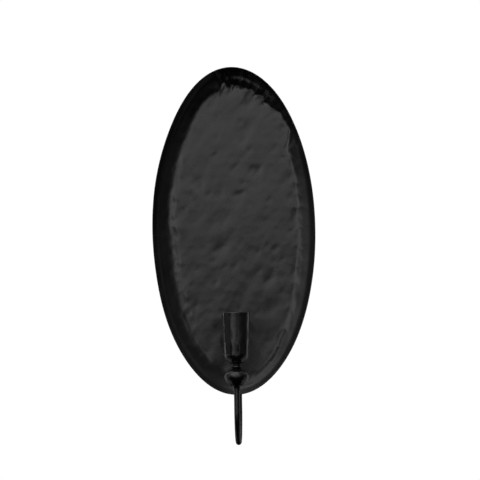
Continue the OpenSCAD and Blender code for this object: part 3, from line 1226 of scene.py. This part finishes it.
@dataclass
class CupScrew(Piece):
    """The socket-head screw on the floor of the cup."""

    finish: ZincPlate = ZincPlate()
    shank_r: float = 2.0
    length: float = 16.0
    tip_h: float = 0.6
    tip_play: float = 0.05
    # The thread's pitch, half its depth, its gap to the shank, its distances from the shank's
    # ends, and the plain shoulder above it
    thread_pitch: float = 0.7
    thread_deep: float = 0.11
    thread_play: float = 0.01
    thread_ends: Row = (0.7, 1.0)
    shoulder: float = 0.8
    head_r: float = 4.0
    head_h: float = 2.6
    edge: float = 0.6
    broken: float = 0.15
    key: float = 2.5
    key_deep: float = 1.3
    seat_z: float = -246.5
    steps: int = 96

    def build(self) -> bpy.types.Object:
        """The screw turned from its profile, with a six-sided socket sunk in its head.

        Formula: the socket's rings have radius half the key's width over the cosine of the
        angle from the nearest flat's middle.

        Returns:
            The screw, not yet dressed.
        """
        tip = [[self.shank_r - self.tip_h, -self.length],
               [self.shank_r - self.tip_play, -self.length + self.tip_h]]
        z = np.linspace(-self.length + self.thread_ends[0], -self.thread_ends[1], 160)
        wave = self.thread_deep * np.cos(2.0 * np.pi * z / self.thread_pitch)
        thread = pairs(self.shank_r - self.thread_deep - self.thread_play + wave, z)
        under = [[self.shank_r, -self.shoulder], [self.shank_r, 0.0],
                 [self.head_r - self.broken, 0.0], [self.head_r, self.broken]]
        top = (self.head_r - self.edge, self.head_h - self.edge)
        profile = np.concatenate([tip, thread, under, arc(top, self.edge, 0.0, 90.0, 8)])
        flat = np.mod(angles(self.steps), np.pi / 3.0) - np.pi / 6.0
        levels = [[self.broken, self.head_h], [0.0, self.head_h - self.broken],
                  [0.0, self.head_h - self.key_deep]]
        key = lathe(np.array(levels), self.steps, self.seat_z, growth=self.key / 2.0 / np.cos(flat))
        rings = np.concatenate([lathe(profile, self.steps, self.seat_z), key])
        return make_object("socket_head_screw", closed_tube(rings))


@dataclass
class Hanger(Piece):
    """The strap on the back: bent out to the wall, with a keyhole in its raised part."""

    finish: StovedPaint = StovedPaint("satin_black_on_flat_strap", peel_mm=1.1, patch_mm=11.0)
    width: float = 18.0
    sheet: float = 1.5
    key_r: float = 5.0
    slot_r: float = 2.5
    slot_h: float = 9.0
    spare: float = 5.0
    leg_run: float = 5.0
    foot: float = 9.0
    weld_r: float = 1.5
    # Height of the point inside the keyhole that the grid's rings run round
    eye: float = 4.0
    broken: float = 0.3
    sharp: float = 50.0

    @property
    def top(self) -> float:
        """Height of the raised part's upper end."""
        return self.slot_h + self.slot_r + self.spare

    @property
    def low(self) -> float:
        """Height of its lower end."""
        return -(self.key_r + self.spare)

    @staticmethod
    def out_of_box(theta: Array, half: float, above: float, below: float) -> Array:
        """Distance from a point to the edge of the upright box round it, for each heading.

        Args:
            theta: headings in radians, anticlockwise from the right.
            half: distance to the sides.
            above: distance to the upper edge.
            below: distance to the lower edge.

        Returns:
            One distance for each heading.
        """
        c, s = np.cos(theta), np.sin(theta)
        tiny, never = 1e-9, 1e9
        with np.errstate(divide="ignore"):
            side = np.where(np.abs(c) > tiny, half / np.abs(c), never)
            end = np.where(s > tiny, above / s, np.where(s < -tiny, -below / s, never))
        return np.minimum(side, end)

    def out_of_circle(self, theta: Array, height: float, radius: float) -> Array:
        """Distance from the eye to the far side of a circle, or 0 where the heading misses it.

        Args:
            theta: headings in radians.
            height: height of the circle's centre.
            radius: its radius.

        Returns:
            One distance for each heading.
        """
        b = np.sin(theta) * (self.eye - height)
        inside = b * b - (self.eye - height) ** 2 + radius**2
        return np.where(inside > 0.0, -b + np.sqrt(np.clip(inside, 0.0, None)), 0.0)

    def keyhole(self, theta: Array) -> Array:
        """Distance from the eye to the keyhole's edge: the furthest way out of its parts.

        Args:
            theta: headings in radians.

        Returns:
            One distance for each heading.
        """
        slot = self.out_of_box(theta, self.slot_r, self.slot_h - self.eye, self.eye)
        rounds = (self.out_of_circle(theta, 0.0, self.key_r),
                  self.out_of_circle(theta, self.slot_h, self.slot_r))
        return np.maximum(np.maximum(rounds[0], slot), rounds[1])

    def lay(self, x: Array, along: Array, quads: Array) -> Skin:
        """A flat grid laid along the strap's outer face.

        Formula: straight on the wall's plane, then a leg that slopes down to the dish over
        leg_run, then a straight foot, with eased corners.

        Args:
            x: place across the strap.
            along: height above the centre of the keyhole's round end.
            quads: faces of the grid.

        Returns:
            The open skin.
        """
        deep = -DISH_BACK_Y - self.sheet
        bent = ease(self.top, self.top + self.leg_run, along)
        bent += ease(self.low, self.low - self.leg_run, along)
        return np.stack([x, -deep * bent, along], axis=-1).reshape(-1, 3), [quads]

    def bead(self, end_z: float) -> Skin:
        """One level weld bead across the end of a foot, flat against the dish.

        Args:
            end_z: height of the foot's end.

        Returns:
            The closed bead.
        """
        along, up, away = weld_bead(self.weld_r, self.width / 2.0 - self.weld_r, 110)
        y = np.maximum(DISH_BACK_Y - away, DISH_BACK_Y)
        return closed_tube(np.stack([along, y, end_z + up], axis=-1))

    def build(self) -> bpy.types.Object:
        """The strap: a grid round the keyhole and two plain grids, given thickness and beads.

        Returns:
            The strap, not yet dressed.
        """
        half, above, below = self.width / 2.0, self.top - self.eye, self.eye - self.low
        corners = [math.atan2(rise, side) for rise in (above, -below) for side in (half, -half)]
        headings = np.concatenate([np.linspace(-np.pi, np.pi, 97)[:-1], corners])
        theta = np.unique(np.round(headings, 6))
        near, far = self.keyhole(theta), self.out_of_box(theta, half, above, below)
        r = near + (far - near) * np.linspace(0.0, 1.0, 5)[:, None]
        ring_x, ring_z = r * np.cos(theta), self.eye + r * np.sin(theta)
        parts = [self.lay(ring_x, ring_z, ring_faces(*r.shape))]
        beads = []
        for edge, sense in ((self.top, 1.0), (self.low, -1.0)):
            cols = np.sort(ring_x[-1][np.isclose(ring_z[-1], edge, rtol=0.0, atol=1e-4)])
            knee, tip = edge + sense * self.leg_run, edge + sense * (self.leg_run + self.foot)
            rows = np.concatenate([np.linspace(edge, knee, 22), np.linspace(knee, tip, 5)[1:]])
            grid_z, grid_x = np.meshgrid(rows, cols, indexing="ij")
            quads = ring_faces(len(rows), len(cols), closed=False)
            parts.append(self.lay(grid_x, grid_z, quads if sense < 0.0 else quads[:, ::-1]))
            beads.append(self.bead(tip))
        piece = make_object("keyhole_strap", join(parts))
        self.thicken(piece)
        self.add_skin(piece, join(beads))
        return piece

    def thicken(self, piece: bpy.types.Object) -> None:
        """Merges the grids, gives them the sheet's thickness inwards and breaks the edges.

        Args:
            piece: the strap as open grids.
        """
        work = bmesh.new()
        work.from_mesh(piece.data)
        bmesh.ops.remove_doubles(work, verts=work.verts, dist=1e-6)
        bmesh.ops.recalc_face_normals(work, faces=work.faces)
        if sum(f.normal.y * f.calc_area() for f in work.faces) < 0.0:
            bmesh.ops.reverse_faces(work, faces=work.faces)
        work.to_mesh(piece.data)
        work.free()
        thick = piece.modifiers.new("sheet", "SOLIDIFY")
        thick.thickness = self.sheet * MM
        thick.offset = -1.0
        soft = piece.modifiers.new("broken_edges", "BEVEL")
        soft.width = self.broken * MM
        soft.segments = 2
        soft.limit_method = "ANGLE"
        soft.angle_limit = math.radians(self.sharp)

    def add_skin(self, piece: bpy.types.Object, skin: Skin) -> None:
        """Applies the piece's modifiers, and adds a closed skin to its mesh.

        Args:
            piece: the piece with its modifiers.
            skin: what it gets besides.
        """
        bpy.context.view_layer.update()
        seen = piece.evaluated_get(bpy.context.evaluated_depsgraph_get())
        work = bmesh.new()
        work.from_mesh(seen.to_mesh())
        seen.to_mesh_clear()
        points, faces = skin
        corners = [work.verts.new(Vector(point) * MM) for point in points]
        for face in (loop for part in faces for loop in part):
            work.faces.new([corners[i] for i in face]).smooth = True
        piece.modifiers.clear()
        work.to_mesh(piece.data)
        work.free()


def hand_in(piece: bpy.types.Object, node: str) -> None:
    """Makes a finished piece ride on the one body and stand for its node.

    Args:
        piece: the finished piece.
        node: the node that it replaces.
    """
    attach(piece, "root")
    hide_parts(node)
    size = [round(v / MM, 1) for v in piece.dimensions]
    LOG.info("%s stands for %s: %s mm, %d faces", piece.name, node, size, len(piece.data.polygons))


# Studio


def heading(azimuth: float, elevation: float) -> Vector:
    """Direction of an elevation and an azimuth, 0 at the viewer's side and 90 at the right."""
    az, el = math.radians(azimuth), math.radians(elevation)
    return Vector((math.sin(az) * math.cos(el), -math.cos(az) * math.cos(el), math.sin(el)))


def span(degrees: float) -> float:
    """Width at distance 1 of what fills this angle."""
    return 2.0 * math.tan(math.radians(degrees / 2.0))


@dataclass(frozen=True)
class SoftPanel:
    """One even panel of the light tent, between two azimuths and two elevations."""

    from_az: float
    to_az: float
    from_el: float
    to_el: float
    radiance: float

    def build(self, middle: Vector, away: float) -> None:
        """Adds the panel as a rectangular area light that faces the middle.

        Args:
            middle: the point that it faces, in metres.
            away: distance in metres.
        """
        widest, least_cos = 80.0, 0.3
        az, el = (self.from_az + self.to_az) / 2.0, (self.from_el + self.to_el) / 2.0
        narrowing = max(math.cos(math.radians(el)), least_cos)
        data = bpy.data.lights.new(f"panel_{self.from_az:.0f}_{self.from_el:.0f}", "AREA")
        data.shape = "RECTANGLE"
        data.size = away * span(min(self.to_az - self.from_az, widest)) * narrowing
        data.size_y = away * span(self.to_el - self.from_el)
        data.energy = self.radiance * math.pi * data.size * data.size_y
        light = bpy.data.objects.new(data.name, data)
        out = heading(az, el)
        facing = out.to_track_quat("Z", "Y").to_matrix().to_4x4()
        light.matrix_world = Matrix.Translation(middle + out * away) @ facing
        light.visible_camera = False
        bpy.context.scene.collection.objects.link(light)


@dataclass
class Studio:
    """Camera at the photograph's viewpoint, pale floor, soft boxes and a white surround."""

    aim: tuple[float, float, float] = (5.65, -20.0, -122.1)
    azimuth: float = -0.2
    elevation: float = -3.5
    roll: float = -0.9
    distance: float = 1881.0
    view_mm: float = 494.6
    sensor: float = 36.0
    clip_m: Row = (0.05, 30.0)
    # The floor and the tent stand round an upright axis in the middle of the holder
    axis_y: float = -20.0
    floor_z: float = -1100.0
    floor_rings: Row = (800.0, 1600.0, 2400.0)
    floor_steps: int = 96
    tent_z: float = -150.0
    away_m: float = 1.7
    # Strength of the surround as the camera sees it and as the paint mirrors it
    white: float = 1.02
    dim: float = 0.004
    # Edges of the tent's panels, and their radiance: rows from the lowest up, columns from the left
    azimuths: Row = (
        -130, -100, -78, -60, -45, -32, -20, -8, 4, 16, 28, 45, 75, 100, 130)
    elevations: Row = (-60, -35, -20, -10, 0, 10, 25, 45, 70)
    tent: tuple[Row, ...] = (
        (0.15, 0.19, 0.0, 0.0, 0.0, 0.0, 0.0, 0.0, 0.0, 0.0, 0.0, 0.0, 0.25, 0.15),
        (0.15, 0.12, 0.0, 0.0, 0.0, 0.03, 0.15, 0.21, 0.0, 0.0, 0.0, 0.0, 0.26, 0.15),
        (0.15, 0.57, 0.39, 0.09, 0.47, 1.05, 0.32, 1.03, 0.36, 0.72, 0.0, 0.0, 0.11, 0.15),
        (0.03, 0.14, 0.14, 0.03, 0.11, 0.99, 0.68, 0.17, 0.0, 0.35, 0.16, 0.08, 0.03, 0.15),
        (0.15, 0.26, 0.6, 0.55, 0.91, 1.5, 1.95, 0.84, 1.13, 0.56, 0.36, 0.07, 0.18, 0.15),
        (0.15, 0.31, 0.48, 1.13, 1.75, 1.65, 1.15, 1.1, 1.55, 0.57, 0.06, 0.1, 0.27, 0.15),
        (0.57, 0.61, 0.98, 1.61, 1.78, 1.58, 1.44, 1.45, 1.44, 0.89, 0.36, 0.24, 0.45, 0.15),
        (0.69, 0.78, 0.98, 1.21, 1.49, 1.55, 1.48, 1.41, 1.26, 0.91, 0.46, 0.18, 0.47, 0.15),
    )
    # The tent's top, and strips beside and behind the holder that draw its outlines
    strips: tuple[SoftPanel, ...] = tuple(SoftPanel(*row) for row in (
        (-40, 40, 70, 110, 1.0), (114, 128, -25, 35, 0.55), (-128, -114, -25, 35, 0.9),
        (105, 150, -60, -25, 0.2), (-150, -105, -60, -25, 0.2),
        (135, 170, -25, 5, 0.3), (-170, -135, -25, 5, 0.3),
        (125, 170, 30, 60, 0.9), (-170, -125, 30, 60, 0.9),
    ))

    def camera(self) -> None:
        """Camera so far off and so long that view_mm fills the square picture at the rim."""
        data = bpy.data.cameras.new("camera")
        data.sensor_width = self.sensor
        data.lens = self.sensor * self.distance / self.view_mm
        data.clip_start, data.clip_end = self.clip_m
        camera = bpy.data.objects.new("camera", data)
        back = heading(self.azimuth, self.elevation)
        look = (-back).to_track_quat("-Z", "Y").to_matrix().to_4x4()
        place = Matrix.Translation((Vector(self.aim) + back * self.distance) * MM)
        camera.matrix_world = place @ look @ Matrix.Rotation(math.radians(self.roll), 4, "Z")
        bpy.context.scene.collection.objects.link(camera)
        bpy.context.scene.camera = camera

    def floor(self) -> None:
        """Round sheet of pale paper, far below the holder, which the paint doesn't mirror."""
        profile = np.array([[radius, 0.0] for radius in self.floor_rings])
        count, steps = len(profile), self.floor_steps
        rings = lathe(profile, steps, self.floor_z, self.axis_y).reshape(-1, 3)
        points = np.concatenate([rings, [[0.0, self.axis_y, self.floor_z]]])
        faces = [ring_faces(count, steps), fan_faces(0, steps, count * steps, False)]
        floor = make_object("paper_floor", (points, faces))
        floor.data.materials.append(PaperFloor().build())
        floor.visible_glossy = floor.visible_diffuse = False

    def surround(self) -> None:
        """White behind the holder for the camera, nearly black for what the paint mirrors."""
        world = bpy.data.worlds.new("white_surround")
        bpy.context.scene.world = world
        world.use_nodes = True
        world.node_tree.nodes.clear()
        add = partial(add_node, world.node_tree)
        seen = add("ShaderNodeLightPath").outputs["Is Camera Ray"]
        plain = linear("#ffffff")
        white, dim = (add("ShaderNodeBackground", {"Color": plain, "Strength": strength})
                      for strength in (self.white, self.dim))
        mixed = add("ShaderNodeMixShader", {}, {0: seen, 1: dim.outputs[0], 2: white.outputs[0]})
        add("ShaderNodeOutputWorld", {}, {"Surface": mixed.outputs[0]})

    def build(self) -> None:
        """Sets up camera, floor, lights and surround."""
        scene = bpy.context.scene
        scene.view_settings.view_transform = "Standard"
        scene.view_settings.look = "None"
        self.camera()
        self.floor()
        az, el = self.azimuths, self.elevations
        panels = [SoftPanel(az[j], az[j + 1], el[i], el[i + 1], radiance)
                  for i, row in enumerate(self.tent) for j, radiance in enumerate(row) if radiance]
        for panel in (*panels, *self.strips):
            panel.build(Vector((0.0, self.axis_y, self.tent_z)) * MM, self.away_m)
        self.surround()


def main() -> None:
    """Builds and dresses every piece, then the studio."""
    logging.basicConfig(level=logging.INFO, format="%(name)s: %(message)s")
    for maker, node, slot in (
        (HammeredDish(), "dish", Slot.DISH),
        (BentArm(), "arm", Slot.ROD),
        (TurnedBall(), "ball_knob", Slot.TURNED),
        (Collar(), "collar", Slot.TURNED),
        (CandleCup(), "candle_cup", Slot.CUP),
        (CupScrew(), "cup_screw", Slot.SCREW),
        (Hanger(), "hanger", Slot.STRAP),
    ):
        piece = maker.build()
        maker.dress(piece)
        hand_in(piece, node)
    Studio().build()


if __name__ == "__main__":
    main()
